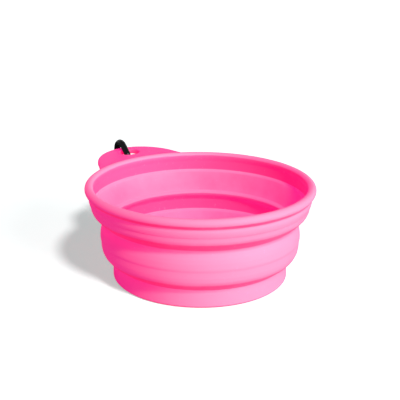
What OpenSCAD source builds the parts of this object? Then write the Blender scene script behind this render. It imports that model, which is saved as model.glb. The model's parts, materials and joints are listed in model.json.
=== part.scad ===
// Collapsible silicone travel bowl with a hanging tab and a spring gate clip.
// Millimetres, +Z up. The origin is the centre of the bowl's underside and
// the hanging tab points along +Y.
//
// The bowl is one soft moulding. It is divided at its own fold lines into the
// stiff tiers and the two thin fold walls between them, so each tier can drop
// inside the next while the fold wall under it turns inside out.

/* [Bowl] */
// Diameter over the rim bead
rim_d = 130; // [126:1:134]
// Height of the open bowl
bowl_h = 55.2; // [54.2:0.1:56.2]
// Diameter of the base tier
base_d = 100.8; // [99:0.2:101.6]
// Diameter at the foot of the middle tier
mid_foot_d = 113.4; // [112.6:0.2:114.2]
// Diameter at the waist on top of the middle tier
mid_waist_d = 110.8; // [110:0.2:111.6]
// Diameter at the foot of the top tier
top_foot_d = 123.8; // [123:0.2:124.6]
// Diameter just under the rim bead
neck_d = 126.4; // [125.8:0.2:127]

/* [Tier heights] */
// Height of the waist on top of the base tier
base_waist_h = 10.8; // [10.4:0.1:11.4]
// Height of the middle tier's foot
mid_foot_h = 21.9; // [21.5:0.1:22.3]
// Height of the waist on top of the middle tier
mid_waist_h = 33.4; // [33:0.1:33.8]
// Height of the top tier's foot
top_foot_h = 43.3; // [42.9:0.1:43.7]

/* [Walls] */
// Thickness of the stiff tiers
tier_wall = 1.9; // [1.7:0.1:2]
// Thickness of a fold wall at its upper end
fold_wall = 2.8; // [2.6:0.1:3]
// Thickness of the floor
floor_t = 3; // [2.6:0.1:3.4]
// How far a waist lip stands inside the wall above it
lip_in = 1.2; // [1:0.1:1.3]
// Radius of a waist lip
lip_r = 1.1; // [0.9:0.1:1.1]
// How far the fold crease lies above the waist outside
crease_rise = 1.6; // [1.4:0.1:1.8]
// How much narrower the base tier is at its waist
tier_draft = 0.3; // [0.2:0.05:0.4]
// Outward bulge of the middle tier
mid_bulge = 0.8; // [0.5:0.1:1]
// Radius of the outer round of the rim bead
bead_r = 2.5; // [2.4:0.1:2.5]
// Width of the rim bead from the wall inside to the outside
bead_w = 4.9; // [4.8:0.1:5.1]
// Edge radius inside the rim bead
bead_edge_r = 2.3; // [2:0.1:2.3]
// Radius of the corner between floor and wall inside
floor_corner_r = 5; // [4:0.5:5.5]
// Edge radius under the base
foot_edge_r = 1; // [0.8:0.1:1.2]
// Depth of the groove under the base
foot_groove_t = 0.6; // [0.4:0.1:0.8]
// Width of that groove
foot_groove_w = 3; // [2:0.5:4]
// Width of the foot ring outside the groove
foot_ring_w = 6; // [5:0.5:8]
// Gap between a fold wall and the tier above it
fold_gap = 0.05; // [0.03:0.01:0.08]

/* [Hanging tab] */
// Thickness of the tab
tab_t = 3; // [2.8:0.1:3.2]
// Radius of the tab's round lobe
tab_lobe_r = 28.8; // [28:0.2:29.6]
// How far the tab's tip stands out beyond the rim
tab_reach = 24.3; // [23.8:0.1:24.6]
// Radius of the hollow between tab and rim
tab_fillet_r = 45; // [40:1:50]
// How far the tab's top face lies below the top of the rim
tab_drop = 1.9; // [1.7:0.1:2]
// Rise of the tab towards its tip, in degrees
tab_tilt = 3; // [2.6:0.1:3.4]
// Radius of the tab's edges
tab_edge_r = 1.2; // [1.1:0.1:1.3]
// Bevel round the slot's edges
slot_bevel = 0.8; // [0.75:0.05:0.9]
// Length of the slot along the rim
slot_l = 13; // [12.6:0.2:14]
// Width of the slot away from the rim
slot_w = 10; // [9.8:0.1:10.4]
// Distance from the tab's tip to the slot
slot_strip = 5.7; // [5.5:0.1:5.8]

/* [Clip] */
// Diameter of the clip's wire
wire_d = 4; // [3.9:0.1:4.1]
// Sideways place of the clip in the slot
clip_x = -1.6; // [-1.8:0.1:-1]
// Lean of the clip's back away from upright, in degrees
clip_lean = 10; // [9:0.5:11]
// Slope of the clip's top, in degrees
clip_slope = 40; // [38:0.5:41]
// Gap between the tab's tip and the clip's back
clip_tip_gap = 0.3; // [0.2:0.05:0.5]
// Height of the clip between its upper and its lower corner, on the wire's centre
clip_h = 58.7; // [57.7:0.5:59.7]
// Outside corner radius at the top of the back, on the wire's centre
clip_top_r = 4.56; // [4.4:0.02:4.8]
// Corner radius of the shoulder above the gate
clip_shoulder_r = 8; // [7:0.5:8]
// Corner radius below the gate
clip_nose_r = 7; // [6:0.5:7]
// Corner radius at the foot of the back
clip_back_r = 9; // [8:0.5:10]
// Distance from the tab's tip back to the gate's centre
gate_back = 11.8; // [11.4:0.1:12]
// How far the gate's hinge lies below the tab's top face
hinge_drop = 10.5; // [10:0.5:12]
// How far the latch pin lies above the clip's lower corner
latch_rise = 10.8; // [10.5:0.1:11.5]

/* [Gate parts] */
// Thickness of the hinge tongue and the nose tongue
tongue_t = 1.6; // [1.4:0.1:1.7]
// Width of the hinge tongue and the nose tongue
tongue_w = 3.2; // [3:0.1:3.3]
// Clearance between a tongue and each cheek of the gate
tongue_gap = 0.1; // [0.08:0.01:0.14]
// Radius of the cam at the end of the hinge tongue
cam_r = 1.7; // [1.65:0.05:1.8]
// Offset of the cam from the hinge
cam_off = 0.5; // [0.4:0.05:0.5]
// Radius of the hinge rivet
rivet_r = 0.65; // [0.6:0.01:0.68]
// Running clearance of the rivet in the tongue
rivet_gap = 0.05; // [0.03:0.01:0.08]
// Radius of the rivet's heads
rivet_head_r = 1.15; // [1:0.05:1.25]
// Thickness of the rivet's heads
rivet_head_t = 0.35; // [0.25:0.05:0.45]
// Width over the flats at the hinge end of the gate
cheek_w = 3.5; // [3.4:0.1:3.6]
// Radius of the latch pin
latch_r = 0.6; // [0.5:0.05:0.65]
// Clearance of the latch pin in its notch
latch_gap = 0.15; // [0.1:0.01:0.2]
// Gap between the gate's ends and the clip's body
gate_end_gap = 0.2; // [0.15:0.05:0.3]
// Radius of the bore for the spring
bore_r = 0.95; // [0.85:0.05:1]
// Running clearance of the plunger in that bore
plunger_gap = 0.05; // [0.03:0.01:0.08]
// Gap between the cam and the plunger
cam_gap = 0.03; // [0.02:0.01:0.05]
// Length of the plunger
plunger_l = 3.4; // [3:0.1:3.8]
// Length of the spring
spring_l = 5.6; // [5:0.1:6]
// Radius of the spring wire
spring_wire_r = 0.14; // [0.1:0.01:0.16]
// Number of turns of the spring
spring_turns = 8; // [6:1:9]

/* [Hidden] */

round_steps = 96;   // sides of a full turn of the bowl
wire_steps = 48;    // sides of a wire or a pin
arc_steps = 10;     // steps along one arc of a profile
half_share = 0.5;
run_ease = wire_d / 400;   // how much thinner a straight is than a bend
run_lap = wire_d / 16;     // how far a straight runs into the bend beside it

silicone = "#ff4f97";
black_metal = "#26262a";
steel = "#b8bcc2";

// Points on the bowl's half profile, as [radius, height]
rim_r = rim_d / 2;
base_r = base_d / 2;
base_waist_r = base_r - tier_draft;
mid_foot_r = mid_foot_d / 2;
mid_waist_r = mid_waist_d / 2;
top_foot_r = top_foot_d / 2;
neck_r = neck_d / 2;
bead_c = [rim_r - bead_r, bowl_h - bead_r];
bead_in_r = rim_r - bead_w;
bead_low_a = -50;   // where the bead's round ends below, in degrees
bead_low = bead_c + bead_r * [cos(bead_low_a), sin(bead_low_a)];
neck = [neck_r, bead_c[1] - bead_r - lip_r * half_share];

// Arc through points on a circle about c from angle a to angle b
function arc_pts(c, r, a, b, n = arc_steps) =
    [for (i = [0:n]) let (t = a + (b - a) * i / n) c + r * [cos(t), sin(t)]];

// Flat bulge from p to q, standing out sideways by s at its middle
function bulge_pts(p, q, s, n = arc_steps) =
    [for (i = [0:n]) let (t = i / n) p + (q - p) * t + [4 * s * t * (1 - t), 0]];

// Radius of the arc that starts at a waist and ends upright at a foot
function fold_r(waist, foot) =
    (pow(foot[0] - waist[0], 2) + pow(foot[1] - waist[1], 2))
    / (2 * (foot[0] - waist[0]));

// Centre of that arc
function fold_c(waist, foot) = [foot[0] - fold_r(waist, foot), foot[1]];

// Angle of the waist seen from that centre
function fold_a(waist, foot) =
    let (c = fold_c(waist, foot)) atan2(waist[1] - c[1], waist[0] - c[0]);

// Inside crease where a fold wall springs from the tier below it
function crease(waist) = [waist[0] - lip_in, waist[1] + crease_rise];

// Closed section of a fold wall between a waist and the foot above it
function fold_section(waist, foot) = concat(
    arc_pts(fold_c(waist, foot), fold_r(waist, foot), fold_a(waist, foot), 0),
    bulge_pts([foot[0] - fold_wall, foot[1]], crease(waist), -fold_wall / 7));

// Inside of a waist lip, from the crease down to the wall below
function lip_pts(waist) =
    let (c = crease(waist))
    arc_pts([c[0] - lip_r * 0.1, c[1] - lip_r * 1.2], lip_r, 80, 180);

// Inside of a tier's foot, a small ledge that carries the fold wall's thickness
function ledge_pts(foot) = [
    [foot[0] - tier_wall, foot[1] + fold_wall * 0.6],
    [foot[0] - tier_wall - (fold_wall - tier_wall) * 0.4, foot[1] + fold_wall * 0.4],
    [foot[0] - fold_wall, foot[1] + fold_wall * 0.3],
    [foot[0] - fold_wall, foot[1]]];

base_waist = [base_waist_r, base_waist_h];
mid_foot = [mid_foot_r, mid_foot_h];
mid_waist = [mid_waist_r, mid_waist_h];
top_foot = [top_foot_r, top_foot_h];

module turned(points) {
    rotate_extrude($fn = round_steps) polygon(points);
}

module base_cup() {
    inner_r = base_waist_r - lip_in - lip_r;
    groove_r = base_r - foot_ring_w;
    color(silicone)
    turned(concat(
        [[0, 0],
         [groove_r - foot_groove_w, 0],
         [groove_r - foot_groove_w + foot_groove_t, foot_groove_t],
         [groove_r - foot_groove_t, foot_groove_t],
         [groove_r, 0]],
        arc_pts([base_r - foot_edge_r, foot_edge_r], foot_edge_r, -90, 0, 5),
        [base_waist, crease(base_waist)],
        lip_pts(base_waist),
        arc_pts([inner_r - floor_corner_r, floor_t + floor_corner_r],
                floor_corner_r, 0, -90),
        [[0, floor_t]]));
}

module lower_fold() {
    color(silicone)
    difference() {
        turned(fold_section(base_waist, mid_foot));
        translate([0, 0, mid_foot_h - fold_gap])
            cylinder(r = rim_r, h = fold_wall, $fn = round_steps);
    }
}

module middle_ring() {
    color(silicone)
    turned(concat(
        bulge_pts(mid_foot, mid_waist, mid_bulge),
        [crease(mid_waist)],
        lip_pts(mid_waist),
        ledge_pts(mid_foot)));
}

module upper_fold() {
    color(silicone)
    difference() {
        turned(fold_section(mid_waist, top_foot));
        translate([0, 0, top_foot_h - fold_gap])
            cylinder(r = rim_r, h = fold_wall, $fn = round_steps);
    }
}

module rim_ring() {
    color(silicone)
    turned(concat(
        bulge_pts(top_foot, neck, lip_r * 0.2),
        arc_pts(bead_c, bead_r, bead_low_a, 90, 2 * arc_steps),
        arc_pts([bead_in_r + bead_edge_r, bowl_h - bead_edge_r], bead_edge_r, 90, 180, 5),
        [[bead_in_r + lip_r * 0.5, bead_c[1] - bead_r]],
        ledge_pts(top_foot)));
}

// The tab's edge runs round the lobe, then into a hollow that meets the rim
tab_tip_y = rim_r + tab_reach;
tab_lobe_y = tab_tip_y - tab_lobe_r;
tab_top_h = bowl_h - tab_drop;
tab_root_r = rim_r - fold_gap;
fillet_far = tab_root_r + tab_fillet_r;
fillet_near = tab_lobe_r + tab_fillet_r;
fillet_y = (pow(fillet_far, 2) - pow(fillet_near, 2) + pow(tab_lobe_y, 2))
           / (2 * tab_lobe_y);
fillet_x = sqrt(pow(fillet_far, 2) - pow(fillet_y, 2));
slot_y = tab_tip_y - slot_strip - slot_w / 2;

lobe_a = atan2(fillet_y - tab_lobe_y, fillet_x);
root_a = atan2(fillet_y, fillet_x);

// Section of the lobe's rounded edge, from the middle out
module lobe_section() {
    flat_h = tab_t / 2 - tab_edge_r;
    translate([0, -flat_h]) square([tab_lobe_r, 2 * flat_h]);
    translate([0, -tab_t / 2]) square([tab_lobe_r - tab_edge_r, tab_t]);
    for (side = [-1, 1])
        translate([tab_lobe_r - tab_edge_r, side * flat_h])
            circle(r = tab_edge_r, $fn = wire_steps);
}

// Web between the lobe and the rim, bounded by a hollow on each side
web_lap = [tab_edge_r * 2, tab_edge_r * 1.5];
web_right = arc_pts([fillet_x, fillet_y], tab_fillet_r, lobe_a - 180, root_a - 180);
web_left = [for (i = [len(web_right) - 1:-1:0]) [-web_right[i][0], web_right[i][1]]];
web_top = web_right[0];
tab_web = concat(
    [[-web_top[0] + web_lap[0], web_top[1] + web_lap[1]],
     [web_top[0] - web_lap[0], web_top[1] + web_lap[1]]],
    web_right, web_left);

module tab_plate() {
    translate([0, tab_lobe_y, 0]) rotate_extrude($fn = round_steps) lobe_section();
    translate([0, 0, -tab_t / 2]) linear_extrude(tab_t) polygon(tab_web);
}

// Obround slot with a bevel round its upper and its lower edge
module slot_cutter() {
    run = slot_l - slot_w;
    end_r = slot_w / 2;
    wide_r = end_r + 2 * slot_bevel;
    low_h = tab_t / 2 - slot_bevel;
    high_h = tab_t / 2 + slot_bevel;
    rotate([90, 0, 90])
        translate([0, 0, -run / 2])
        linear_extrude(run)
            polygon([[-end_r, -low_h], [-wide_r, -high_h], [wide_r, -high_h],
                     [end_r, -low_h], [end_r, low_h], [wide_r, high_h],
                     [-wide_r, high_h], [-end_r, low_h]]);
    for (side = [-1, 1])
        translate([side * run / 2, 0, 0])
            rotate_extrude($fn = round_steps)
                polygon([[0, -high_h], [wide_r, -high_h], [end_r, -low_h],
                         [end_r, low_h], [wide_r, high_h], [0, high_h]]);
}

module hanging_tab() {
    color(silicone)
    difference() {
        translate([0, rim_r, tab_top_h - tab_t / 2])
            rotate([tab_tilt, 0, 0])
            translate([0, -rim_r, 0])
            difference() {
                tab_plate();
                translate([0, slot_y, 0]) slot_cutter();
            }
        rotate_extrude($fn = 2 * round_steps) {
            translate(bead_c) circle(r = bead_r, $fn = round_steps);
            square([bead_c[0], bowl_h + tab_t]);
            polygon([[0, 0], [neck[0], 0], neck, bead_low, bead_c, [0, bead_c[1]]]);
        }
    }
}

// The clip lies in the plane x = clip_x. Its corners are [y, z] points
tip_top_h = tab_top_h + tab_reach * sin(tab_tilt);
wire_r = wire_d / 2;
back_y = tab_tip_y + clip_tip_gap + wire_r / cos(clip_lean);
gate_y = tab_tip_y - gate_back;
top_z = tip_top_h + 2 * wire_d;
foot_z = top_z - clip_h;
hinge_h = tab_top_h - hinge_drop;
latch_h = foot_z + latch_rise;
top_corner = [back_y - (top_z - tip_top_h) * tan(clip_lean), top_z];
shoulder_corner = [gate_y,
                   top_corner[1] - (top_corner[0] - gate_y) * tan(clip_slope)];
nose_corner = [gate_y, foot_z];
back_corner = [top_corner[0] + (top_corner[1] - foot_z) * tan(clip_lean), foot_z];
hinge_stop_h = hinge_h + tongue_w * half_share + wire_r * 0.75;
nose_stop_h = nose_corner[1] + clip_nose_r + gate_end_gap;
gate_low_h = nose_stop_h + gate_end_gap;

function unit(v) = v / norm(v);
function turn_angle(a, b) = acos(unit(a) * unit(b));

// Straight wire between two [y, z] points, its ends let into the bends
module wire_run(p, q) {
    d = q - p;
    translate([clip_x, p[0], p[1]])
        rotate([-90 + atan2(d[1], d[0]), 0, 0])
            translate([0, 0, -run_lap])
                cylinder(r = wire_r - run_ease, h = norm(d) + 2 * run_lap,
                         $fn = wire_steps);
}

// Bent wire of radius r round the corner c between points p and q
module wire_bend(p, c, q, r) {
    u = unit(p - c);
    v = unit(q - c);
    inner = turn_angle(u, v);
    mid = c + unit(u + v) * r / sin(inner / 2);
    sweep = 180 - inner;
    start = unit(c - mid);
    facing = atan2(start[1], start[0]);
    translate([clip_x, mid[0], mid[1]])
        rotate([90, 0, 90])
            rotate([0, 0, facing - sweep / 2])
                rotate_extrude(angle = sweep, $fn = round_steps)
                    translate([r, 0]) circle(r = wire_r, $fn = wire_steps);
}

// How far a bend starts before its corner
function bend_back(p, c, q, r) = r / tan(turn_angle(p - c, q - c) / 2);

// Flat piece standing in the clip's plane, drawn in [y, z]
module clip_plate(t) {
    translate([clip_x - t / 2, 0, 0])
        rotate([90, 0, 90]) linear_extrude(t) children();
}

module carabiner_wire() {
    a = [gate_y, hinge_stop_h + run_lap];
    b = shoulder_corner;
    c = top_corner;
    d = back_corner;
    e = nose_corner;
    f = [gate_y, nose_stop_h - run_lap];
    b_in = b + unit(a - b) * bend_back(a, b, c, clip_shoulder_r);
    b_out = b + unit(c - b) * bend_back(a, b, c, clip_shoulder_r);
    c_in = c + unit(b - c) * bend_back(b, c, d, clip_top_r);
    c_out = c + unit(d - c) * bend_back(b, c, d, clip_top_r);
    d_in = d + unit(c - d) * bend_back(c, d, e, clip_back_r);
    d_out = d + unit(e - d) * bend_back(c, d, e, clip_back_r);
    e_in = e + unit(d - e) * bend_back(d, e, f, clip_nose_r);
    e_out = e + unit(f - e) * bend_back(d, e, f, clip_nose_r);
    wire_run(a, b_in);
    wire_bend(a, b, c, clip_shoulder_r);
    wire_run(b_out, c_in);
    wire_bend(b, c, d, clip_top_r);
    wire_run(c_out, d_in);
    wire_bend(c, d, e, clip_back_r);
    wire_run(d_out, e_in);
    wire_bend(d, e, f, clip_nose_r);
    wire_run(e_out, f);
}

module carabiner_body() {
    nose_top_h = latch_h + tongue_w * half_share + latch_r;
    color(black_metal) {
        carabiner_wire();
        clip_plate(tongue_t)
            difference() {
                union() {
                    translate([gate_y - tongue_w / 2, hinge_h])
                        square([tongue_w, hinge_stop_h - hinge_h + wire_r]);
                    translate([gate_y + cam_off, hinge_h])
                        circle(r = cam_r, $fn = wire_steps);
                }
                translate([gate_y, hinge_h])
                    circle(r = rivet_r + rivet_gap, $fn = wire_steps);
            }
        clip_plate(tongue_t)
            difference() {
                union() {
                    translate([gate_y - tongue_w / 2, nose_stop_h - wire_r])
                        square([tongue_w, nose_top_h - tongue_w / 2 - nose_stop_h + wire_r]);
                    translate([gate_y, nose_top_h - tongue_w / 2])
                        circle(d = tongue_w, $fn = wire_steps);
                }
                translate([gate_y, latch_h])
                    circle(r = latch_r + latch_gap, $fn = wire_steps);
                translate([gate_y, latch_h - latch_r - latch_gap])
                    square([tongue_w, 2 * (latch_r + latch_gap)]);
            }
    }
}

fork_w = tongue_t + 2 * tongue_gap;
hinge_reach = hinge_stop_h - hinge_h - gate_end_gap;
slot_floor_h = hinge_h - cam_r - cam_off - wire_r * 0.1;
bore_end_h = hinge_h - cam_r - cam_gap - plunger_l - spring_l - 3 * cam_gap;

// A bar along z at the gate's place, from height a to height b
module gate_bar(r, a, b) {
    translate([clip_x, gate_y, a])
        cylinder(r = r, h = b - a, $fn = wire_steps);
}

// A pin across the clip, of length w, at height h
module cross_pin(r, w, h) {
    translate([clip_x - w / 2, gate_y, h])
        rotate([0, 90, 0]) cylinder(r = r, h = w, $fn = wire_steps);
}

module carabiner_gate() {
    color(black_metal)
    difference() {
        union() {
            gate_bar(wire_r, gate_low_h, hinge_h);
            intersection() {
                gate_bar(wire_r, hinge_h - wire_r, hinge_stop_h);
                cross_pin(hinge_reach, 2 * wire_d, hinge_h);
            }
        }
        translate([clip_x - fork_w / 2, gate_y - wire_d, slot_floor_h])
            cube([fork_w, 2 * wire_d, 2 * wire_d]);
        translate([clip_x - fork_w / 2, gate_y - wire_d, gate_low_h - wire_d])
            cube([fork_w, 2 * wire_d,
                  latch_h + tongue_w + wire_r * 0.25 - gate_low_h + wire_d]);
        for (side = [-1, 1])
            translate([clip_x + side * (cheek_w + wire_d) / 2 - wire_d / 2,
                       gate_y - wire_d, slot_floor_h - wire_r * 0.2])
                cube([wire_d, 2 * wire_d, 2 * wire_d]);
        cross_pin(rivet_r, 2 * wire_d, hinge_h);
        cross_pin(latch_r, 2 * wire_d, latch_h);
        gate_bar(bore_r, bore_end_h, hinge_h);
    }
}

module gate_rivet() {
    color(steel) {
        cross_pin(rivet_r, cheek_w, hinge_h);
        for (side = [-1, 1])
            translate([side * (cheek_w + rivet_head_t) / 2, 0, 0])
                cross_pin(rivet_head_r, rivet_head_t, hinge_h);
    }
}

module latch_pin() {
    color(steel) cross_pin(latch_r, cheek_w, latch_h);
}

module spring_plunger() {
    top_h = hinge_h - cam_r - cam_gap;
    color(steel) gate_bar(bore_r - plunger_gap, top_h - plunger_l, top_h);
}

// Round wire wound on a helix, as rings of points joined by triangles
module gate_spring() {
    ring_n = 6;
    turn_n = 12;
    coil_r = bore_r - plunger_gap - spring_wire_r;
    rise = spring_l - 2 * spring_wire_r;
    steps = spring_turns * turn_n;
    pts = [for (i = [0:steps], j = [0:ring_n - 1])
        let (a = 360 * i / turn_n, b = 360 * j / ring_n,
             r = coil_r + spring_wire_r * cos(b))
        [r * cos(a), r * sin(a),
         rise * i / steps + spring_wire_r * sin(b)]];
    sides = [for (i = [0:steps - 1], j = [0:ring_n - 1])
        let (k = (j + 1) % ring_n, p = i * ring_n, q = p + ring_n)
        each [[p + j, p + k, q + k], [p + j, q + k, q + j]]];
    first = [for (j = [1:ring_n - 2]) [0, j + 1, j]];
    last = [for (j = [1:ring_n - 2]) let (p = steps * ring_n) [p, p + j, p + j + 1]];
    color(steel)
    translate([clip_x, gate_y, bore_end_h + cam_gap + spring_wire_r])
        polyhedron(pts, concat(sides, first, last));
}

base_cup();
lower_fold();
middle_ring();
upper_fold();
rim_ring();
hanging_tab();
carabiner_body();
carabiner_gate();
gate_rivet();
latch_pin();
gate_spring();
spring_plunger();
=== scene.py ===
"""Collapsible silicone bowl with a hanging tab and a gate clip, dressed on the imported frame.

All sizes are millimetres in the part's frame until a mesh is made, and metres after that.
"""

import json
import logging
import math
from dataclasses import dataclass, replace
from enum import Enum

import bpy
import numpy as np
from mathutils import Matrix, Vector

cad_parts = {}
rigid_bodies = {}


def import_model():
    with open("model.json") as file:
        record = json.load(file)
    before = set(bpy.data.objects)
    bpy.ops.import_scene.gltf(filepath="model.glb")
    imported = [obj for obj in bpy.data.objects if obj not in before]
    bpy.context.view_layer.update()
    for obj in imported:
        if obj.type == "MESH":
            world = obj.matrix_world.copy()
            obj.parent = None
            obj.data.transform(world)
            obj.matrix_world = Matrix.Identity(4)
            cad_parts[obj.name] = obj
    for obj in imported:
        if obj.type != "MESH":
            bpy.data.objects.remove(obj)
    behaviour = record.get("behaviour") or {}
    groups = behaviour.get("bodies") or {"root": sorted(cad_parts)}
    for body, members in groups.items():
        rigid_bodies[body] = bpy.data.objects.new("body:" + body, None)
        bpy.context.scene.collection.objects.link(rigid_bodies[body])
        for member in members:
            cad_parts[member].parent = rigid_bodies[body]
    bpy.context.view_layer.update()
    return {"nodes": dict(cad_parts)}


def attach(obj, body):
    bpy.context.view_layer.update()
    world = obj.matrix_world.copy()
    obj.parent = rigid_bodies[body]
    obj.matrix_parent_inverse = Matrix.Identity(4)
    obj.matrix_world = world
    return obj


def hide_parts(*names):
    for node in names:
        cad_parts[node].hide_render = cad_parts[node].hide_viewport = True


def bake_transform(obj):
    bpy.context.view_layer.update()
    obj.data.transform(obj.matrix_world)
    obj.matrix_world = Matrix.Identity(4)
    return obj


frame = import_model()

LOG = logging.getLogger("bowl")
MM = 0.001
ON_AXIS = 1e-4          # a ring narrower than this is one point

Point2 = tuple[float, float]
Point3 = tuple[float, float, float]
Ring = tuple[np.ndarray, np.ndarray, float]     # centre, direction and radius of a wire's ring


class Body(Enum):
    """The rigid bodies of the frame that a dressed piece rides on."""

    BASE = "base"
    MIDDLE = "middle"
    RIM = "rim"
    CARABINER = "carabiner"


def srgb(code: str) -> tuple[float, float, float, float]:
    """Turns an sRGB hex colour into Blender's linear colour.

    Args:
        code: The colour as "#rrggbb".

    Returns:
        Linear red, green, blue and an alpha of one.
    """
    parts = [int(code[i : i + 2], 16) / 255 for i in (1, 3, 5)]
    linear = [c / 12.92 if c <= 0.04045 else ((c + 0.055) / 1.055) ** 2.4 for c in parts]
    return linear[0], linear[1], linear[2], 1.0


def add_node(tree: bpy.types.NodeTree, kind: str, settings: dict | None = None,
             links: dict | None = None) -> bpy.types.Node:
    """Adds a node with its settings and its incoming links.

    Args:
        tree: The node tree that gets the node.
        kind: The node's class name.
        settings: Node properties by name, and socket values by socket name or index.
        links: Output sockets by the name or index of the input that they feed.

    Returns:
        The new node.
    """
    node = tree.nodes.new(kind)
    for key, value in (settings or {}).items():
        if isinstance(key, str) and hasattr(node, key) and key not in node.inputs:
            setattr(node, key, value)
        else:
            node.inputs[key].default_value = value
    for key, source in (links or {}).items():
        tree.links.new(source, node.inputs[key])
    return node


def blank_material(name: str) -> tuple[bpy.types.Material, bpy.types.NodeTree]:
    """Makes an empty node material.

    Args:
        name: The material's name.

    Returns:
        The material and its cleared node tree.
    """
    material = bpy.data.materials.new(name)
    material.use_nodes = True
    material.node_tree.nodes.clear()
    return material, material.node_tree


@dataclass(frozen=True)
class MouldedSilicone:
    """Compression-moulded silicone rubber, pigmented fluorescent pink.

    Painted light and shade: the colour is paler on faces that look out and up and deeper on the
    sheltered faces, and a painted glow, an emission, keeps the shadows red.
    """

    name: str = "silicone_fluorescent_pink"
    # painted light colour for faces that look out and up, painted shade colour for sheltered faces
    painted_light_colour: str = "#ff9ca7"
    painted_shade_colour: str = "#fb6690"
    dust: str = "#ffb8d6"
    out_weight: float = 0.6     # how much looking away from the bowl's axis counts for the painted light
    up_weight: float = 1.2      # how much looking up counts for it
    painted_light_from: float = -0.45   # the sum of both where the painted light starts
    painted_light_full: float = 0.2     # and where it is full
    rub: float = 0.12           # how far rubbing moves that sum
    painted_glow_open: str = "#ff0090"  # painted glow, an emission, where light falls in freely
    painted_glow_deep: str = "#ff006a"  # and the painted glow on the sheltered faces, where the red stays
    painted_glow_strength: float = 0.76
    roughness: float = 0.5
    ior: float = 1.41
    specular_level: float = 0.2  # the dry surface scatters most of the sheen
    grain_mm: float = 0.5       # spark-eroded mould texture
    grain_depth_mm: float = 0.02
    grain_strength: float = 0.35
    mottle_mm: float = 24.0     # slow random change in where the painted light starts, as where hands have rubbed it
    mottle_levels: Point2 = (0.3, 0.7)
    speck_mm: float = 2.2       # fine dust that clings to silicone
    speck_levels: Point2 = (0.62, 0.8)
    speck_share: float = 0.35
    sheen_levels: Point2 = (-0.05, 0.08)    # added to the roughness without and with the painted light

    def build(self) -> bpy.types.Material:
        """Builds the material.

        Returns:
            The material.
        """
        material, tree = blank_material(self.name)
        coords = add_node(tree, "ShaderNodeTexCoord")
        place, normal = coords.outputs["Object"], coords.outputs["Normal"]
        mottle = add_node(tree, "ShaderNodeTexNoise",
                          {"Scale": 1 / (self.mottle_mm * MM), "Detail": 4.0, "Roughness": 0.6},
                          {"Vector": place})
        speck = add_node(tree, "ShaderNodeTexNoise",
                         {"Scale": 1 / (self.speck_mm * MM), "Detail": 3.0, "Roughness": 0.7},
                         {"Vector": place})
        grain = add_node(tree, "ShaderNodeTexNoise",
                         {"Scale": 1 / (self.grain_mm * MM), "Detail": 2.0, "Roughness": 0.6},
                         {"Vector": place})
        flat = add_node(tree, "ShaderNodeVectorMath",
                        {"operation": "MULTIPLY", 1: (1.0, 1.0, 0.0)}, {0: place})
        outward = add_node(tree, "ShaderNodeVectorMath", {"operation": "NORMALIZE"},
                           {0: flat.outputs[0]})
        looks_out = add_node(tree, "ShaderNodeVectorMath", {"operation": "DOT_PRODUCT"},
                             {0: outward.outputs[0], 1: normal})
        looks_up = add_node(tree, "ShaderNodeVectorMath",
                            {"operation": "DOT_PRODUCT", 1: (0.0, 0.0, self.up_weight)},
                            {0: normal})
        both = add_node(tree, "ShaderNodeMath",
                        {"operation": "MULTIPLY_ADD", 1: self.out_weight},
                        {0: looks_out.outputs["Value"], 2: looks_up.outputs["Value"]})
        rubbed = add_node(tree, "ShaderNodeMapRange",
                          {"From Min": self.mottle_levels[0], "From Max": self.mottle_levels[1],
                           "To Min": -self.rub, "To Max": self.rub},
                          {"Value": mottle.outputs["Fac"]})
        looks = add_node(tree, "ShaderNodeMath", {"operation": "ADD"},
                         {0: both.outputs[0], 1: rubbed.outputs["Result"]})
        # painted light mask from the normal: out and up faces get painted light, sheltered faces
        # painted shade
        painted_light_mask = add_node(tree, "ShaderNodeMapRange",
                        {"interpolation_type": "SMOOTHSTEP", "From Min": self.painted_light_from,
                         "From Max": self.painted_light_full},
                        {"Value": looks.outputs[0]})
        specks = add_node(tree, "ShaderNodeMapRange",
                          {"From Min": self.speck_levels[0], "From Max": self.speck_levels[1],
                           "To Min": 0.0, "To Max": self.speck_share},
                          {"Value": speck.outputs["Fac"]})
        # lit and shaded copies of the colour: painted light and painted shade
        colour = add_node(tree, "ShaderNodeMix",
                          {"data_type": "RGBA", 6: srgb(self.painted_shade_colour), 7: srgb(self.painted_light_colour)},
                          {0: painted_light_mask.outputs["Result"]})
        dusty = add_node(tree, "ShaderNodeMix", {"data_type": "RGBA", 7: srgb(self.dust)},
                         {0: specks.outputs["Result"], 6: colour.outputs[2]})
        # painted glow: an emission that keeps the red up in the shade
        painted_glow = add_node(tree, "ShaderNodeMix",
                        {"data_type": "RGBA", 6: srgb(self.painted_glow_deep), 7: srgb(self.painted_glow_open)},
                        {0: painted_light_mask.outputs["Result"]})
        rough = add_node(tree, "ShaderNodeMapRange",
                         {"To Min": self.roughness + self.sheen_levels[0],
                          "To Max": self.roughness + self.sheen_levels[1]},
                         {"Value": painted_light_mask.outputs["Result"]})
        bump = add_node(tree, "ShaderNodeBump",
                        {"Strength": self.grain_strength, "Distance": self.grain_depth_mm * MM},
                        {"Height": grain.outputs["Fac"]})
        shader = add_node(tree, "ShaderNodeBsdfPrincipled",
                          {"IOR": self.ior, "Specular IOR Level": self.specular_level,
                           "Emission Strength": self.painted_glow_strength},
                          {"Base Color": dusty.outputs[2], "Roughness": rough.outputs["Result"],
                           "Emission Color": painted_glow.outputs[2], "Normal": bump.outputs["Normal"]})
        add_node(tree, "ShaderNodeOutputMaterial", links={"Surface": shader.outputs["BSDF"]})
        return material

    def tab_painted_shade_copy(self) -> "MouldedSilicone":
        """The same rubber on the tab: smoother, and with a darker painted light colour that paints
        shade on it.
        """
        return replace(self, name="silicone_tab_painted_shade", painted_light_colour="#fb5a7c", roughness=0.42)


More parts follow.
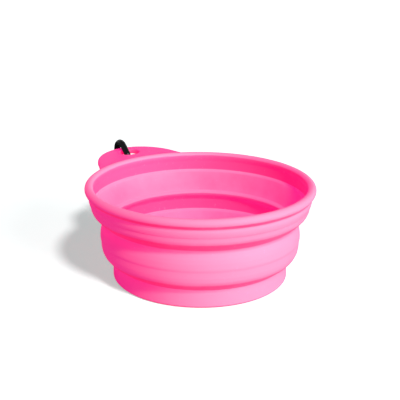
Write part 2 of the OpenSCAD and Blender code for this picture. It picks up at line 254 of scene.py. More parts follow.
@dataclass(frozen=True)
class BlackNickel:
    """Steel wire plated with bright black nickel.

    The eye sees near black with bright edges and a few fine rub marks.
    """

    name: str = "black_nickel_plated_wire"
    metal: str = "#100f12"
    rubbed: str = "#39373d"
    worn_levels: Point2 = (0.55, 0.75)
    worn_share: float = 0.5
    roughness: float = 0.14
    rough_levels: Point2 = (0.3, 0.8)
    sheen_levels: Point2 = (-0.04, 0.1)     # added to the roughness where least and most rubbed
    lacquer: float = 0.15
    lacquer_roughness: float = 0.06
    lacquer_ior: float = 1.5
    rub_mm: float = 3.0

    def build(self) -> bpy.types.Material:
        """Builds the material.

        Returns:
            The material.
        """
        material, tree = blank_material(self.name)
        place = add_node(tree, "ShaderNodeTexCoord").outputs["Object"]
        rub = add_node(tree, "ShaderNodeTexNoise",
                       {"Scale": 1 / (self.rub_mm * MM), "Detail": 5.0, "Roughness": 0.7},
                       {"Vector": place})
        worn = add_node(tree, "ShaderNodeMapRange",
                        {"From Min": self.worn_levels[0], "From Max": self.worn_levels[1],
                         "To Min": 0.0, "To Max": self.worn_share},
                        {"Value": rub.outputs["Fac"]})
        colour = add_node(tree, "ShaderNodeMix",
                          {"data_type": "RGBA", 6: srgb(self.metal), 7: srgb(self.rubbed)},
                          {0: worn.outputs["Result"]})
        rough = add_node(tree, "ShaderNodeMapRange",
                         {"From Min": self.rough_levels[0], "From Max": self.rough_levels[1],
                          "To Min": self.roughness + self.sheen_levels[0],
                          "To Max": self.roughness + self.sheen_levels[1]},
                         {"Value": rub.outputs["Fac"]})
        shader = add_node(tree, "ShaderNodeBsdfPrincipled",
                          {"Metallic": 1.0, "Coat Weight": self.lacquer,
                           "Coat Roughness": self.lacquer_roughness,
                           "Coat IOR": self.lacquer_ior},
                          {"Base Color": colour.outputs[2],
                           "Roughness": rough.outputs["Result"]})
        add_node(tree, "ShaderNodeOutputMaterial", links={"Surface": shader.outputs["BSDF"]})
        return material


@dataclass(frozen=True)
class DrawnSteel:
    """Bright drawn steel of pins, springs and rivets.

    The eye sees a pale grey metal with fine drawing marks.
    """

    name: str = "drawn_steel"
    metal: str = "#b9b9bd"
    smooth: float = 0.2
    rough: float = 0.36
    mark_mm: float = 0.25

    def build(self) -> bpy.types.Material:
        """Builds the material.

        Returns:
            The material.
        """
        material, tree = blank_material(self.name)
        place = add_node(tree, "ShaderNodeTexCoord").outputs["Object"]
        marks = add_node(tree, "ShaderNodeTexNoise",
                         {"Scale": 1 / (self.mark_mm * MM), "Detail": 2.0}, {"Vector": place})
        rough = add_node(tree, "ShaderNodeMapRange",
                         {"To Min": self.smooth, "To Max": self.rough},
                         {"Value": marks.outputs["Fac"]})
        shader = add_node(tree, "ShaderNodeBsdfPrincipled",
                          {"Base Color": srgb(self.metal), "Metallic": 1.0},
                          {"Roughness": rough.outputs["Result"]})
        add_node(tree, "ShaderNodeOutputMaterial", links={"Surface": shader.outputs["BSDF"]})
        return material


@dataclass(frozen=True)
class StudioFloor:
    """Matt white paper sweep: the eye sees plain white with a soft grey shadow."""

    name: str = "white_paper_floor"
    paper: str = "#ffffff"
    gain: float = 1.25          # how much of the light on it the camera sees
    lift: float = 0.49          # an emission that the camera sees, which keeps the shadow pale
    lift_tint: str = "#f7ffff"  # and neutral beside the pink
    dull: str = "#8a8a8a"       # what the bowl gets back, so little light comes from below

    def build(self) -> bpy.types.Material:
        """Builds the material.

        Returns:
            The material.
        """
        material, tree = blank_material(self.name)
        seen = add_node(tree, "ShaderNodeLightPath").outputs["Is Camera Ray"]
        bright = (*(c * self.gain for c in srgb(self.paper)[:3]), 1.0)
        paper = add_node(tree, "ShaderNodeBsdfDiffuse", {"Color": bright})
        dull = add_node(tree, "ShaderNodeBsdfDiffuse", {"Color": srgb(self.dull)})
        lift = add_node(tree, "ShaderNodeEmission",
                        {"Strength": self.lift, "Color": srgb(self.lift_tint)})
        both = add_node(tree, "ShaderNodeAddShader",
                        links={0: paper.outputs[0], 1: lift.outputs[0]})
        mix = add_node(tree, "ShaderNodeMixShader",
                       links={0: seen, 1: dull.outputs[0], 2: both.outputs[0]})
        add_node(tree, "ShaderNodeOutputMaterial", links={"Surface": mix.outputs[0]})
        return material


def mesh_object(name: str, points: list[Point3], faces: list[tuple[int, ...]],
                material: bpy.types.Material) -> bpy.types.Object:
    """Makes a smooth-shaded object from points in millimetres.

    Args:
        name: The object's name.
        points: The vertices.
        faces: Vertex numbers of each face.
        material: The material of every face.

    Returns:
        The linked object.
    """
    mesh = bpy.data.meshes.new(name)
    mesh.from_pydata([tuple(c * MM for c in p) for p in points], [], faces)
    mesh.materials.append(material)
    mesh.shade_smooth()
    mesh.update()
    piece = bpy.data.objects.new(name, mesh)
    bpy.context.scene.collection.objects.link(piece)
    return piece


def arc(centre: Point2, radius: float, start: float, end: float,
        step: float = 3.0) -> list[Point2]:
    """Puts points on an arc.

    Args:
        centre: The arc's centre.
        radius: Its radius.
        start: Its first angle in degrees.
        end: Its last angle in degrees.
        step: About how many degrees lie between two points.

    Returns:
        The points, from the first angle to the last.
    """
    count = max(2, int(abs(end - start) / step))
    angles = [math.radians(start + (end - start) * i / count) for i in range(count + 1)]
    return [(centre[0] + radius * math.cos(a), centre[1] + radius * math.sin(a)) for a in angles]


def even_spacing(path: list[Point2], step: float) -> np.ndarray:
    """Puts points at an even spacing along a path.

    Args:
        path: The path's corners.
        step: The spacing.

    Returns:
        One row per point.
    """
    points = np.array(path, float)
    runs = np.linalg.norm(np.diff(points, axis=0), axis=1)
    lengths = np.concatenate([[0.0], np.cumsum(runs)])
    count = max(2, int(round(lengths[-1] / step)))
    where = np.linspace(0.0, lengths[-1], count + 1)
    return np.stack([np.interp(where, lengths, points[:, k]) for k in (0, 1)], axis=1)


def soften(points: np.ndarray, spread: float, step: float) -> np.ndarray:
    """Rounds every corner of an evenly spaced path, as moulded rubber is rounded.

    Args:
        points: The path.
        spread: The standard deviation of the rounding along the path.
        step: The path's spacing.

    Returns:
        The path with its ends kept.
    """
    reach = int(3 * spread / step) + 1
    weights = np.exp(-0.5 * (np.arange(-reach, reach + 1) * step / spread) ** 2)
    weights /= weights.sum()
    head = 2 * points[0] - points[reach:0:-1]
    tail = 2 * points[-1] - points[-2 : -reach - 2 : -1]
    padded = np.vstack([head, points, tail])
    return np.stack([np.convolve(padded[:, k], weights, "valid") for k in (0, 1)], axis=1)


def thinned(points: np.ndarray, straight: float = 0.03, longest: float = 3.0) -> np.ndarray:
    """Drops points where a path runs nearly straight.

    Args:
        points: The path.
        straight: The sine of the turn up to which a point is dropped.
        longest: The longest run without a point.

    Returns:
        The points that keep the shape within a few micrometres.
    """
    kept = [0]
    for i in range(1, len(points) - 1):
        a, b, c = points[kept[-1]], points[i], points[i + 1]
        ab, bc = b - a, c - b
        cross = abs(ab[0] * bc[1] - ab[1] * bc[0])
        turn = cross / (np.linalg.norm(ab) * np.linalg.norm(bc))
        if turn > straight or np.linalg.norm(c - a) > longest:
            kept.append(i)
    kept.append(len(points) - 1)
    return points[kept]


def crossing(a: np.ndarray, b: np.ndarray, height: float) -> np.ndarray:
    """The point at a height on the line from a to b."""
    return a + (b - a) * ((height - a[1]) / (b[1] - a[1]))


def stretch(path: np.ndarray, low: float | None, high: float | None) -> np.ndarray:
    """Cuts the stretch between two heights out of a path, and thins it.

    Args:
        path: The path.
        low: The height of the lower cut, or None to keep that end.
        high: The height of the upper cut, or None to keep that end.

    Returns:
        The stretch with exact ends, in the path's own direction.
    """
    rising = path[-1, 1] > path[0, 1]
    track = path if rising else path[::-1]
    first = 0 if low is None else int(np.argmax(track[:, 1] > low))
    last = len(track) - 1
    if high is not None:
        last -= int(np.argmax(track[::-1, 1] < high))
    rows = [track[first : last + 1]]
    if low is not None:
        rows.insert(0, crossing(track[first - 1], track[first], low)[None])
    if high is not None:
        rows.append(crossing(track[last], track[last + 1], high)[None])
    piece = thinned(np.vstack(rows))
    return piece if rising else piece[::-1]


@dataclass(frozen=True)
class FoldWall:
    """One thin wall between two tiers: it leaves a waist, swells out and ends upright at a foot.

    The swelling is given as shares of the wall's width and height, so it follows both tiers.
    """

    waist: Point2
    foot: Point2
    swell_shares: tuple[Point2, ...]

    @property
    def outside(self) -> list[Point2]:
        """Draws the outer line.

        Returns:
            Its corners, from the waist up to the foot.
        """
        (r, z), (foot_r, foot_z) = self.waist, self.foot
        dr, dz = foot_r - r, foot_z - z
        return [self.waist, *((r + a * dr, z + b * dz) for a, b in self.swell_shares), self.foot]


@dataclass(frozen=True)
class Lip:
    """The soft round lip inside a waist, on which the tier above hangs when it is up."""

    centre: Point2
    radius: float
    top_a: float = 95.0
    under_a: float = 240.0
    step: float = 12.0

    @property
    def line(self) -> list[Point2]:
        """The lip's line from its top round to its underside."""
        return arc(self.centre, self.radius, self.top_a, self.under_a, self.step)


@dataclass
class BowlShell:
    """The one-piece silicone moulding, cut into its tiers and fold walls.

    Lines are given as (radius, height). The outer lines run up, and the inner ones down.
    """

    silicone: bpy.types.Material
    rim_r: float = 65.0
    top: float = 55.2
    bead_r: float = 2.5
    bead_low_a: float = -50.0
    bead_width: float = 4.9
    edge_r: float = 2.3
    underside: tuple[Point2, ...] = (
        (0.0, 0.0), (41.4, 0.0), (42.0, 0.6), (43.8, 0.6), (44.4, 0.0), (49.3, 0.0))
    base_outside: tuple[Point2, ...] = ((50.35, 1.0), (50.05, 10.3))
    lower: FoldWall = FoldWall((50.0, 10.7), (56.7, 21.9), (
        (0.10, 0.05), (0.33, 0.14), (0.60, 0.27), (0.80, 0.42), (0.93, 0.60), (0.99, 0.80)))
    middle_outside: tuple[Point2, ...] = (
        (56.7, 23.3), (57.05, 24.2), (57.1, 25.5), (56.85, 28.0), (56.3, 30.3), (55.7, 32.0))
    upper: FoldWall = FoldWall((55.3, 33.3), (61.9, 43.3), (
        (0.01, 0.10), (0.09, 0.22), (0.31, 0.34), (0.62, 0.51), (0.86, 0.69), (0.97, 0.86)))
    top_outside: tuple[Point2, ...] = (
        (61.95, 44.0), (62.4, 44.8), (62.85, 46.4), (62.95, 47.8), (62.75, 48.8), (63.0, 49.5))
    top_inside: tuple[Point2, ...] = ((60.25, 51.6), (60.7, 50.2), (60.75, 48.5), (60.75, 45.3))
    upper_inside: tuple[Point2, ...] = (
        (60.65, 44.6), (59.5, 44.05), (59.1, 43.4), (54.5, 34.0), (54.15, 33.2))
    upper_lip: Lip = Lip((53.85, 31.0), 1.8)
    middle_inside: tuple[Point2, ...] = (
        (53.8, 28.3), (54.35, 27.4), (54.45, 26.0), (54.4, 22.0))
    lower_inside: tuple[Point2, ...] = (
        (54.3, 20.9), (53.2, 20.35), (52.8, 19.7), (49.6, 13.6), (49.2, 13.0))
    lower_lip: Lip = Lip((48.75, 10.9), 1.55)
    base_inside: tuple[Point2, ...] = ((47.75, 8.8), (47.7, 8.0))
    floor_top: float = 3.0
    floor_edge_r: float = 42.7
    floor_corner_r: float = 5.0
    cuts_out: tuple[float, ...] = (9.6, 24.6, 31.6, 45.6)   # heights of the joints, outside
    cuts_in: tuple[float, ...] = (9.4, 24.6, 28.8, 47.4)    # and inside
    softness: float = 0.35
    step: float = 0.2
    around: int = 224

    def outside(self) -> list[Point2]:
        """Joins the outer lines.

        Returns:
            Corners from the middle of the underside up to the rim's crest.
        """
        bead_c = (self.rim_r - self.bead_r, self.top - self.bead_r)
        return [*self.underside, *self.base_outside, *self.lower.outside, *self.middle_outside,
                *self.upper.outside, *self.top_outside,
                *arc(bead_c, self.bead_r, self.bead_low_a, 90.0)]

    def inside(self) -> list[Point2]:
        """Joins the inner lines.

        Returns:
            Corners from the rim's crest down to the middle of the floor.
        """
        inner = self.rim_r - self.bead_width
        crest = arc((inner + self.edge_r, self.top - self.edge_r), self.edge_r, 90.0, 180.0)
        corner_c = (self.floor_edge_r, self.floor_top + self.floor_corner_r)
        return [*crest, *self.top_inside, *self.upper_inside, *self.upper_lip.line,
                *self.middle_inside, *self.lower_inside, *self.lower_lip.line,
                *self.base_inside, *arc(corner_c, self.floor_corner_r, 0.0, -90.0),
                (0.0, self.floor_top)]

    def section(self) -> tuple[np.ndarray, np.ndarray]:
        """Softens the whole section.

        Returns:
            Its outer line up to the rim's crest, and its inner line from there.
        """
        out = even_spacing(self.outside(), self.step)
        inn = even_spacing(self.inside(), self.step)
        smooth = soften(np.vstack([out, inn[1:]]), self.softness, self.step)
        smooth[:, 0] = np.maximum(smooth[:, 0], 0.0)
        return smooth[: len(out)], smooth[len(out) - 1 :]

    def lathe(self, name: str, strips: list[np.ndarray]) -> bpy.types.Object:
        """Turns one closed section round the axis.

        Args:
            name: The piece's name.
            strips: Stretches of the section, in order. Flat joints between them are kept sharp.

        Returns:
            The piece.
        """
        rings, n = np.vstack(strips), self.around
        starts, points = self.ring_points(rings)
        faces: list[tuple[int, ...]] = []
        for i, ring in enumerate(rings):
            j = (i + 1) % len(rings)
            one_i, one_j = ring[0] < ON_AXIS, rings[j][0] < ON_AXIS
            if one_i and one_j:
                continue
            a, b = starts[i], starts[j]
            for k in range(n):
                m = (k + 1) % n
                if one_i:
                    faces.append((b + m, b + k, a))
                elif one_j:
                    faces.append((a + k, a + m, b))
                else:
                    faces.append((a + k, a + m, b + m, b + k))
        piece = mesh_object(name, points, faces, self.silicone)
        breaks = np.cumsum([len(s) for s in strips])
        joints = {int(b) - 1 for b in breaks} | {int(b) % len(rings) for b in breaks}
        ring_of = {vertex: ring for ring in joints if rings[ring][0] > ON_AXIS
                   for vertex in range(starts[ring], starts[ring] + n)}
        flags = [ring_of.get(edge.vertices[0], -1) == ring_of.get(edge.vertices[1], -2)
                 for edge in piece.data.edges]
        marks = piece.data.attributes.new("sharp_edge", "BOOLEAN", "EDGE")
        marks.data.foreach_set("value", flags)
        return piece

    def ring_points(self, rings: np.ndarray) -> tuple[list[int], list[Point3]]:
        """Puts the points of every ring round the axis.

        Args:
            rings: Radius and height of each ring.

        Returns:
            The number of each ring's first point, and all points.
        """
        points: list[Point3] = []
        starts: list[int] = []
        for r, z in rings.tolist():
            starts.append(len(points))
            if r < ON_AXIS:
                points.append((0.0, 0.0, z))
                continue
            for k in range(self.around):
                a = 2 * math.pi * k / self.around
                points.append((r * math.cos(a), r * math.sin(a), z))
        return starts, points

    def build(self) -> list[bpy.types.Object]:
        """Builds the five pieces of the moulding and lets the base, middle and rim pieces ride on
        their bodies.

        Returns:
            The pieces, from the base up to the rim.
        """
        out, inn = self.section()
        ends_out, ends_in = (None, *self.cuts_out, None), (None, *self.cuts_in, None)
        nodes = ("base_cup", "lower_fold", "middle_ring", "upper_fold", "rim_ring")
        pieces = []
        for i, node in enumerate(nodes):
            strips = [stretch(out, *ends_out[i : i + 2]), stretch(inn, *ends_in[i : i + 2])]
            if node == "rim_ring":
                strips = [np.vstack([strips[0], strips[1][1:]])]    # one strip round the crest
            piece = self.lathe(node + "_skin", strips)
            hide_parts(node)
            pieces.append(piece)
        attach(pieces[0], Body.BASE.value)
        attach(pieces[2], Body.MIDDLE.value)
        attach(pieces[4], Body.RIM.value)
        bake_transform(pieces[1])
        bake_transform(pieces[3])
        return pieces


def outward(loop: np.ndarray) -> np.ndarray:
    """Finds the directions to the right of an anticlockwise closed loop.

    Args:
        loop: The loop's points.

    Returns:
        One unit vector per point.
    """
    ahead = np.roll(loop, -1, axis=0) - np.roll(loop, 1, axis=0)
    ahead /= np.linalg.norm(ahead, axis=1)[:, None]
    return np.stack([ahead[:, 1], -ahead[:, 0]], axis=1)


@dataclass
class HangingTab:
    """The flat lobe moulded on to the rim, with a slot for the clip."""

    silicone: bpy.types.Material
    lobe_y: float = 60.5
    lobe_r: float = 28.7
    hollow_r: float = 45.0
    rim_r: float = 64.4
    root_r: float = 62.4
    root_inset_a: float = 1.0   # degrees left free beside each hollow at the root
    top: float = 53.3
    pivot_y: float = 65.0
    tilt: float = 3.6
    thickness: float = 3.0
    edge_r: float = 1.2
    slot_y: float = 79.2
    slot_long: float = 13.0
    slot_wide: float = 8.8
    slot_edge_r: float = 0.6
    edge_angles: tuple[int, ...] = (90, 72, 54, 36, 18, 0)
    land_shares: tuple[float, ...] = (0.12, 0.3, 0.5, 0.7, 0.88)
    step_a: float = 1.0
    slot_step_a: float = 2.0
    step: float = 0.25
    around: int = 288

    def outline(self) -> np.ndarray:
        """Draws the outer edge.

        Returns:
            Evenly spaced points, anticlockwise from the root on the right.
        """
        far, near = self.rim_r + self.hollow_r, self.lobe_r + self.hollow_r
        y = (far**2 - near**2 + self.lobe_y**2) / (2 * self.lobe_y)
        x = math.sqrt(far**2 - y**2)
        lobe_a = math.degrees(math.atan2(y - self.lobe_y, x))
        root_a = math.degrees(math.atan2(y, x))
        inset = self.root_inset_a
        path = arc((x, y), self.hollow_r, root_a - 180, lobe_a - 180, self.step_a)
        path += arc((0.0, self.lobe_y), self.lobe_r, lobe_a, 180 - lobe_a, self.step_a)
        path += arc((-x, y), self.hollow_r, -lobe_a, -root_a, self.step_a)
        path += arc((0.0, 0.0), self.root_r, 180 - root_a + inset, root_a - inset, self.step_a)
        path.append(path[0])
        return even_spacing(path, self.step)[:-1]

    def slot(self) -> np.ndarray:
        """Draws the slot.

        Returns:
            Evenly spaced points round it, anticlockwise.
        """
        run, r = (self.slot_long - self.slot_wide) / 2, self.slot_wide / 2
        path = arc((run, self.slot_y), r, -90, 90, self.slot_step_a)
        path += arc((-run, self.slot_y), r, 90, 270, self.slot_step_a)
        path.append(path[0])
        return even_spacing(path, (2 * math.pi * r + 4 * run) / self.around)[: self.around]

    def edge_beside(self, slot: np.ndarray) -> np.ndarray:
        """Gives the outer edge as many points as the slot, starting beside the slot's first.

        Args:
            slot: The slot's points.

        Returns:
            The edge's points, anticlockwise.
        """
        outline, centre = self.outline(), np.array([0.0, self.slot_y])
        around = np.unwrap(np.arctan2(*(outline - centre).T[::-1]))
        start = np.unwrap(np.arctan2(*(slot - centre).T[::-1]))
        away = (around - start[0] + math.pi) % (2 * math.pi) - math.pi
        outline = np.roll(outline, -int(np.argmin(np.abs(away))), axis=0)
        where = np.linspace(0, len(outline), self.around, endpoint=False)
        whole = np.vstack([outline, outline[:1]])
        return np.stack([np.interp(where, range(len(whole)), whole[:, k]) for k in (0, 1)], axis=1)

    def loops(self) -> list[tuple[np.ndarray, float]]:
        """Lays loops over the skin: up the slot, out over the top, round the edge and back below.

        Returns:
            Each loop's points and its height over the tab's middle plane.
        """
        slot = self.slot()
        edge = self.edge_beside(slot)
        slot_out, edge_out = outward(slot), outward(edge)
        half, r, e = self.thickness / 2, self.edge_r, self.slot_edge_r
        flat, slot_flat = half - r, half - e
        angles = [math.radians(a) for a in self.edge_angles]
        slot_top, edge_top = slot + slot_out * e, edge - edge_out * r
        loops: list[tuple[np.ndarray, float]] = []
        for a in reversed(angles):
            loops.append((slot + slot_out * e * (1 - math.cos(a)), slot_flat + e * math.sin(a)))
        for s in self.land_shares:
            loops.append((slot_top * (1 - s) + edge_top * s, half))
        for a in angles:
            loops.append((edge - edge_out * r * (1 - math.cos(a)), flat + r * math.sin(a)))
        for a in reversed(angles):
            loops.append((edge - edge_out * r * (1 - math.cos(a)), -flat - r * math.sin(a)))
        for s in reversed(self.land_shares):
            loops.append((slot_top * (1 - s) + edge_top * s, -half))
        for a in angles:
            loops.append((slot + slot_out * e * (1 - math.cos(a)), -slot_flat - e * math.sin(a)))
        return loops

    def build(self) -> bpy.types.Object:
        """Builds the tab as one closed skin and lets it ride on the rim.

        Returns:
            The tab.
        """
        loops, n = self.loops(), self.around
        half, slope = self.thickness / 2, math.radians(self.tilt)
        points: list[Point3] = []
        for loop, height in loops:
            for x, y in loop.tolist():
                d = y - self.pivot_y
                points.append((x, self.pivot_y + d * math.cos(slope) - height * math.sin(slope),
                               self.top - half + height * math.cos(slope) + d * math.sin(slope)))
        faces: list[tuple[int, ...]] = []
        for i in range(len(loops)):
            a, b = i * n, (i + 1) % len(loops) * n
            faces += [(a + k, a + (k + 1) % n, b + (k + 1) % n, b + k) for k in range(n)]
        piece = mesh_object("hanging_tab_skin", points, faces, self.silicone)
        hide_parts("hanging_tab")
        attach(piece, Body.RIM.value)
        return piece


def unit(v: np.ndarray) -> np.ndarray:
    """The vector scaled to a length of one."""
    return v / np.linalg.norm(v)


def rounded_path(bends: list[Point3], step: float = 4.0) -> np.ndarray:
    """Runs a path through bends, each rounded by its own radius.

    Args:
        bends: Points as (y, z, radius). The two ends have a radius of zero.
        step: Degrees between points on a bend.

    Returns:
        One row per point of the path.
    """
    path = [np.array(bends[0][:2])]
    for before, here, after in zip(bends, bends[1:], bends[2:]):
        c = np.array(here[:2])
        u, v = unit(np.array(before[:2]) - c), unit(np.array(after[:2]) - c)
        inner = math.acos(float(u @ v))
        middle = c + unit(u + v) * here[2] / math.sin(inner / 2)
        first = c + u * here[2] / math.tan(inner / 2) - middle
        last = c + v * here[2] / math.tan(inner / 2) - middle
        a = math.atan2(first[1], first[0])
        sweep = (math.atan2(last[1], last[0]) - a + math.pi) % (2 * math.pi) - math.pi
        count = max(3, int(abs(math.degrees(sweep)) / step))
        for i in range(count + 1):
            t = a + sweep * i / count
            path.append(middle + here[2] * np.array([math.cos(t), math.sin(t)]))
    path.append(np.array(bends[-1][:2]))
    return np.array(path)


@dataclass
class GateClip:
    """The wire clip: a bent wire body and a sprung gate between its two ends.

    Places are given as (y, z), because the clip hangs in one upright plane.
    """

    nickel: bpy.types.Material
    steel: bpy.types.Material
    x: float = -1.6
    wire_r: float = 2.0
    end_edge: float = 0.35      # rounding of the wire's cut ends
    end_angles: tuple[int, ...] = (30, 60)
    gate_y: float = 77.5
    back_top: Point2 = (90.220, 62.572)
    foot_z: float = 3.872
    lean: float = 10.0          # of the back wire, in degrees
    slope: float = 40.0         # of the top wire
    shoulder_r: float = 8.0
    top_r: float = 4.56
    back_foot_r: float = 9.0
    nose_r: float = 7.0
    nose_run: float = 0.2       # straight wire above the nose's bend
    hinge_z: float = 42.8
    latch_z: float = 14.672
    tongue_t: float = 1.6
    tongue_w: float = 3.2
    tongue_sunk: float = 1.5    # how far a tongue runs into the wire
    tongue_edge: float = 0.12
    stop_share: float = 0.75    # of the wire's radius, left free above the hinge
    knuckle_r: float = 1.7      # round the rivet
    knuckle_y: float = 0.5      # how far its centre lies in front of the wire's axis
    knuckle_a: Point2 = (200, 340)
    nose_root: float = 6.0      # from the foot's centre line up to the nose tongue's root
    nose_over: float = 0.6      # its height over the latch pin, beyond half its width
    notch_r: float = 0.75       # for the latch pin
    notch_y: float = 0.3        # how far its corners lie behind the wire's axis
    notch_a: Point2 = (250, 110)
    notch_step: float = 20.0
    round_step: float = 12.0
    sides: int = 40

    @property
    def stop(self) -> float:
        """The height at which the wire ends above the hinge."""
        return self.hinge_z + self.tongue_w / 2 + self.wire_r * self.stop_share

    def tube(self, path: np.ndarray, name: str) -> bpy.types.Object:
        """Sweeps the wire along a path in the clip's plane, with softly rounded ends.

        Args:
            path: Points as (y, z).
            name: The piece's name.

        Returns:
            The piece.
        """
        ahead = np.gradient(path, axis=0)
        ahead /= np.linalg.norm(ahead, axis=1)[:, None]
        rings = self.wire_end(path[0], ahead[0])
        rings += [(p, d, self.wire_r) for p, d in zip(path[1:-1], ahead[1:-1])]
        rings += [(p, -d, r) for p, d, r in reversed(self.wire_end(path[-1], -ahead[-1]))]
        points: list[Point3] = []
        for centre, direction, r in rings:
            side = np.array([-direction[1], direction[0]])
            for k in range(self.sides):
                t = 2 * math.pi * k / self.sides
                offset = side * r * math.sin(t)
                points.append((self.x + r * math.cos(t), float(centre[0] + offset[0]),
                               float(centre[1] + offset[1])))
        n = self.sides
        faces = [(i * n + k, i * n + (k + 1) % n, (i + 1) * n + (k + 1) % n, (i + 1) * n + k)
                 for i in range(len(rings) - 1) for k in range(n)]
        return mesh_object(name, points, faces, self.nickel)

    def wire_end(self, end: np.ndarray, inward: np.ndarray) -> list[Ring]:
        """Lays the rings of one cut end, from its middle out to the full wire.

        Args:
            end: The end's middle.
            inward: The direction into the wire.

        Returns:
            The rings.
        """
        edge, full = self.end_edge, self.wire_r
        rings = [(end, inward, 0.0), (end, inward, full - edge)]
        for t in (math.radians(a) for a in self.end_angles):
            rings.append((end + inward * edge * (1 - math.cos(t)), inward,
                          full - edge * (1 - math.sin(t))))
        return [*rings, (end + inward * edge, inward, full)]

    def plate(self, name: str, outline: list[Point2]) -> bpy.types.Object:
        """Makes a flat tongue in the clip's plane with bevelled edges.

        Args:
            name: The piece's name.
            outline: Its outline as (y, z), anticlockwise.

        Returns:
            The piece.
        """
        n, half = len(outline), self.tongue_t / 2
        points = [(self.x - half, y, z) for y, z in outline]
        points += [(self.x + half, y, z) for y, z in outline]
        faces: list[tuple[int, ...]] = [tuple(range(n))[::-1], tuple(range(n, 2 * n))]
        faces += [(k, (k + 1) % n, n + (k + 1) % n, n + k) for k in range(n)]
        piece = mesh_object(name, points, faces, self.nickel)
        modifier = piece.modifiers.new("edge", "BEVEL")
        modifier.width = self.tongue_edge * MM
        modifier.segments = 2
        modifier.limit_method = "ANGLE"
        modifier.harden_normals = True
        return piece

    def body_path(self) -> np.ndarray:
        """Lays the wire's centre line.

        Returns:
            Its points as (y, z), from the hinge end round to the nose end.
        """
        y0, z0 = self.back_top
        lean, slope = math.tan(math.radians(self.lean)), math.tan(math.radians(self.slope))
        shoulder = (self.gate_y, z0 - (y0 - self.gate_y) * slope)
        back_foot = (y0 + (z0 - self.foot_z) * lean, self.foot_z)
        nose = self.foot_z + self.nose_r + self.nose_run
        return rounded_path([
            (self.gate_y, self.stop, 0.0), (*shoulder, self.shoulder_r), (y0, z0, self.top_r),
            (*back_foot, self.back_foot_r), (self.gate_y, self.foot_z, self.nose_r),
            (self.gate_y, nose, 0.0)])

    def hinge_outline(self) -> list[Point2]:
        """Draws the tongue in the gate's fork, with its round knuckle below the rivet.

        Returns:
            The outline as (y, z), anticlockwise.
        """
        y, w, sunk = self.gate_y, self.tongue_w / 2, self.stop + self.tongue_sunk
        straight = [(y + w, self.hinge_z), (y + w, sunk), (y - w, sunk), (y - w, self.hinge_z)]
        return straight + arc((y + self.knuckle_y, self.hinge_z), self.knuckle_r, *self.knuckle_a,
                              self.round_step)

    def nose_outline(self) -> list[Point2]:
        """Draws the tongue on the nose, with the notch that the latch pin drops into.

        Returns:
            The outline as (y, z), anticlockwise.
        """
        y, w, z, r = self.gate_y, self.tongue_w / 2, self.latch_z, self.notch_r
        root, mouth, top = self.foot_z + self.nose_root, y - self.notch_y, z + w + self.nose_over
        return [(y - w, root), (y + w, root), (y + w, z - r), (mouth, z - r),
                *arc((y, z), r, *self.notch_a, self.notch_step)[1:-1],
                (mouth, z + r), (y + w, z + r), *arc((y, top - w), w, 0, 180, self.round_step)]

    def build(self) -> list[bpy.types.Object]:
        """Builds the clip's body and dresses the gate and the small parts as the frame has them.

        Returns:
            The pieces of the body.
        """
        wire = self.tube(self.body_path(), "carabiner_wire")
        tongues = [self.plate("carabiner_hinge_tongue", self.hinge_outline()),
                   self.plate("carabiner_nose_tongue", self.nose_outline())]
        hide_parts("carabiner_body")
        for piece in [wire, *tongues]:
            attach(piece, Body.CARABINER.value)
        for node in ("carabiner_gate", "gate_rivet", "latch_pin", "gate_spring", "spring_plunger"):
            piece = frame["nodes"][node]
            finish = self.nickel if node == "carabiner_gate" else self.steel
            piece.data.materials.clear()
            piece.data.materials.append(finish)
            for face in piece.data.polygons:
                face.material_index = 0
        return [wire, *tongues]


@dataclass(frozen=True)
class Lamp:
    """One large soft light far away, placed as seen from the photograph's camera."""

    name: str
    azimuth: float      # degrees to the right of the camera
    elevation: float
    spread: float       # degrees across the light
    strength: float     # share of full light that it gives a white face turned to it


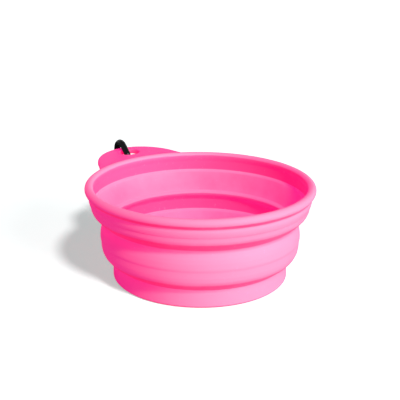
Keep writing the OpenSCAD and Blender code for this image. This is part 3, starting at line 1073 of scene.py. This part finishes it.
@dataclass
class Studio:
    """The white floor, the lights and a dim surround.

    Three soft lights stand at the front right, one above the other.
    """

    floor_finish: bpy.types.Material
    yaw: float          # from the camera's frame to the part's, in degrees
    lamps: tuple[Lamp, ...] = (
        Lamp("low_key", 61.0, 3.0, 18.0, 0.76),
        Lamp("middle_key", 44.0, 22.0, 22.0, 0.32),
        Lamp("high_key", 28.0, 46.0, 8.0, 0.5),
    )
    fill: float = 0.024
    half_floor_m: float = 6.0

    def hang(self, lamp: Lamp) -> bpy.types.Object:
        """Adds one light to the scene.

        Args:
            lamp: The light.

        Returns:
            Its object.
        """
        data = bpy.data.lights.new(lamp.name, "SUN")
        data.angle = math.radians(lamp.spread)
        data.energy = math.pi * lamp.strength
        light = bpy.data.objects.new(lamp.name, data)
        bpy.context.scene.collection.objects.link(light)
        a, e = math.radians(lamp.azimuth), math.radians(lamp.elevation)
        seen = (math.sin(a) * math.cos(e), -math.cos(a) * math.cos(e), math.sin(e))
        away = Matrix.Rotation(math.radians(self.yaw), 3, "Z") @ Vector(seen)
        light.location = away.normalized()
        light.rotation_euler = away.to_track_quat("Z", "Y").to_euler()
        return light

    def lay_floor(self) -> bpy.types.Object:
        """Lays the floor.

        Returns:
            The floor.
        """
        half = self.half_floor_m
        square = [(-half, -half, 0), (half, -half, 0), (half, half, 0), (-half, half, 0)]
        mesh = bpy.data.meshes.new("floor")
        mesh.from_pydata(square, [], [(0, 1, 2, 3)])
        mesh.materials.append(self.floor_finish)
        floor = bpy.data.objects.new("floor", mesh)
        bpy.context.scene.collection.objects.link(floor)
        return floor

    def keep_painted_glow_off(self, floor: bpy.types.Object) -> None:
        """Lets the silicone's painted glow, its emission, light the bowl and not the floor, so
        that the shadow stays grey.

        Args:
            floor: The floor.
        """
        lit = bpy.data.collections.new("lit_by_the_painted_glow")
        for piece in [o for o in bpy.context.scene.objects if o.type == "MESH" and o is not floor]:
            lit.objects.link(piece)
        for piece in lit.objects:
            piece.light_linking.receiver_collection = lit

    def surround(self) -> None:
        """Makes the world: white to the camera and in reflections, and dim as a light."""
        world = bpy.data.worlds.new("white_surround")
        bpy.context.scene.world = world
        world.use_nodes = True
        tree = world.node_tree
        tree.nodes.clear()
        path = add_node(tree, "ShaderNodeLightPath")
        either = add_node(tree, "ShaderNodeMath", {"operation": "MAXIMUM"},
                          {0: path.outputs["Is Camera Ray"], 1: path.outputs["Is Glossy Ray"]})
        any_of = add_node(tree, "ShaderNodeMath", {"operation": "MAXIMUM"},
                          {0: either.outputs[0], 1: path.outputs["Is Transmission Ray"]})
        strength = add_node(tree, "ShaderNodeMapRange", {"To Min": self.fill, "To Max": 1.0},
                            {"Value": any_of.outputs[0]})
        back = add_node(tree, "ShaderNodeBackground", {"Color": srgb("#ffffff")},
                        {"Strength": strength.outputs["Result"]})
        add_node(tree, "ShaderNodeOutputWorld", links={"Surface": back.outputs[0]})

    def build(self) -> None:
        """Builds the floor, the lights and the world."""
        self.keep_painted_glow_off(self.lay_floor())
        for lamp in self.lamps:
            self.hang(lamp)
        self.surround()


@dataclass
class PhotoCamera:
    """The camera of the photograph, solved from the bowl's ellipses."""

    yaw: float = -34.5      # from the camera's frame to the part's, in degrees
    place: Point3 = (0.0, -0.49278, 0.20846)
    right: Point3 = (0.99998, 0.00269, 0.00635)
    up: Point3 = (-0.0069, 0.3896, 0.92096)
    focal_px: float = 913.3
    frame_px: float = 400.0
    centre_px: Point2 = (199.9, 272.17)
    sensor_mm: float = 36.0
    clip_m: Point2 = (0.01, 100.0)

    def build(self) -> bpy.types.Object:
        """Builds the camera and makes it the scene's camera.

        Returns:
            The camera.
        """
        turn = Matrix.Rotation(math.radians(self.yaw), 3, "Z")
        right = Vector(self.right).normalized()
        back = right.cross(Vector(self.up)).normalized()
        axes = [turn @ v for v in (right, back.cross(right), back)]
        data = bpy.data.cameras.new("photo_camera")
        data.sensor_width = self.sensor_mm
        data.lens = self.focal_px / self.frame_px * self.sensor_mm
        data.shift_x = (self.frame_px / 2 - self.centre_px[0]) / self.frame_px
        data.shift_y = (self.centre_px[1] - self.frame_px / 2) / self.frame_px
        data.clip_start, data.clip_end = self.clip_m
        camera = bpy.data.objects.new("photo_camera", data)
        bpy.context.scene.collection.objects.link(camera)
        facing = Matrix([[axis[row] for axis in axes] for row in range(3)]).to_4x4()
        camera.matrix_world = Matrix.Translation(turn @ Vector(self.place)) @ facing
        bpy.context.scene.camera = camera
        return camera


def main() -> None:
    """Builds every piece of the dressed bowl in order."""
    logging.basicConfig(level=logging.INFO, format="%(message)s")
    bpy.context.scene.view_settings.view_transform = "Standard"
    camera = PhotoCamera()
    camera.build()
    rubber = MouldedSilicone()
    pieces = BowlShell(rubber.build()).build()
    # the tab gets the darker copy: painted shade on the tab
    pieces.append(HangingTab(rubber.tab_painted_shade_copy().build()).build())
    pieces += GateClip(BlackNickel().build(), DrawnSteel().build()).build()
    for piece in pieces:
        LOG.info("%s: %d faces", piece.name, len(piece.data.polygons))
    Studio(StudioFloor().build(), camera.yaw).build()


if __name__ == "__main__":
    main()
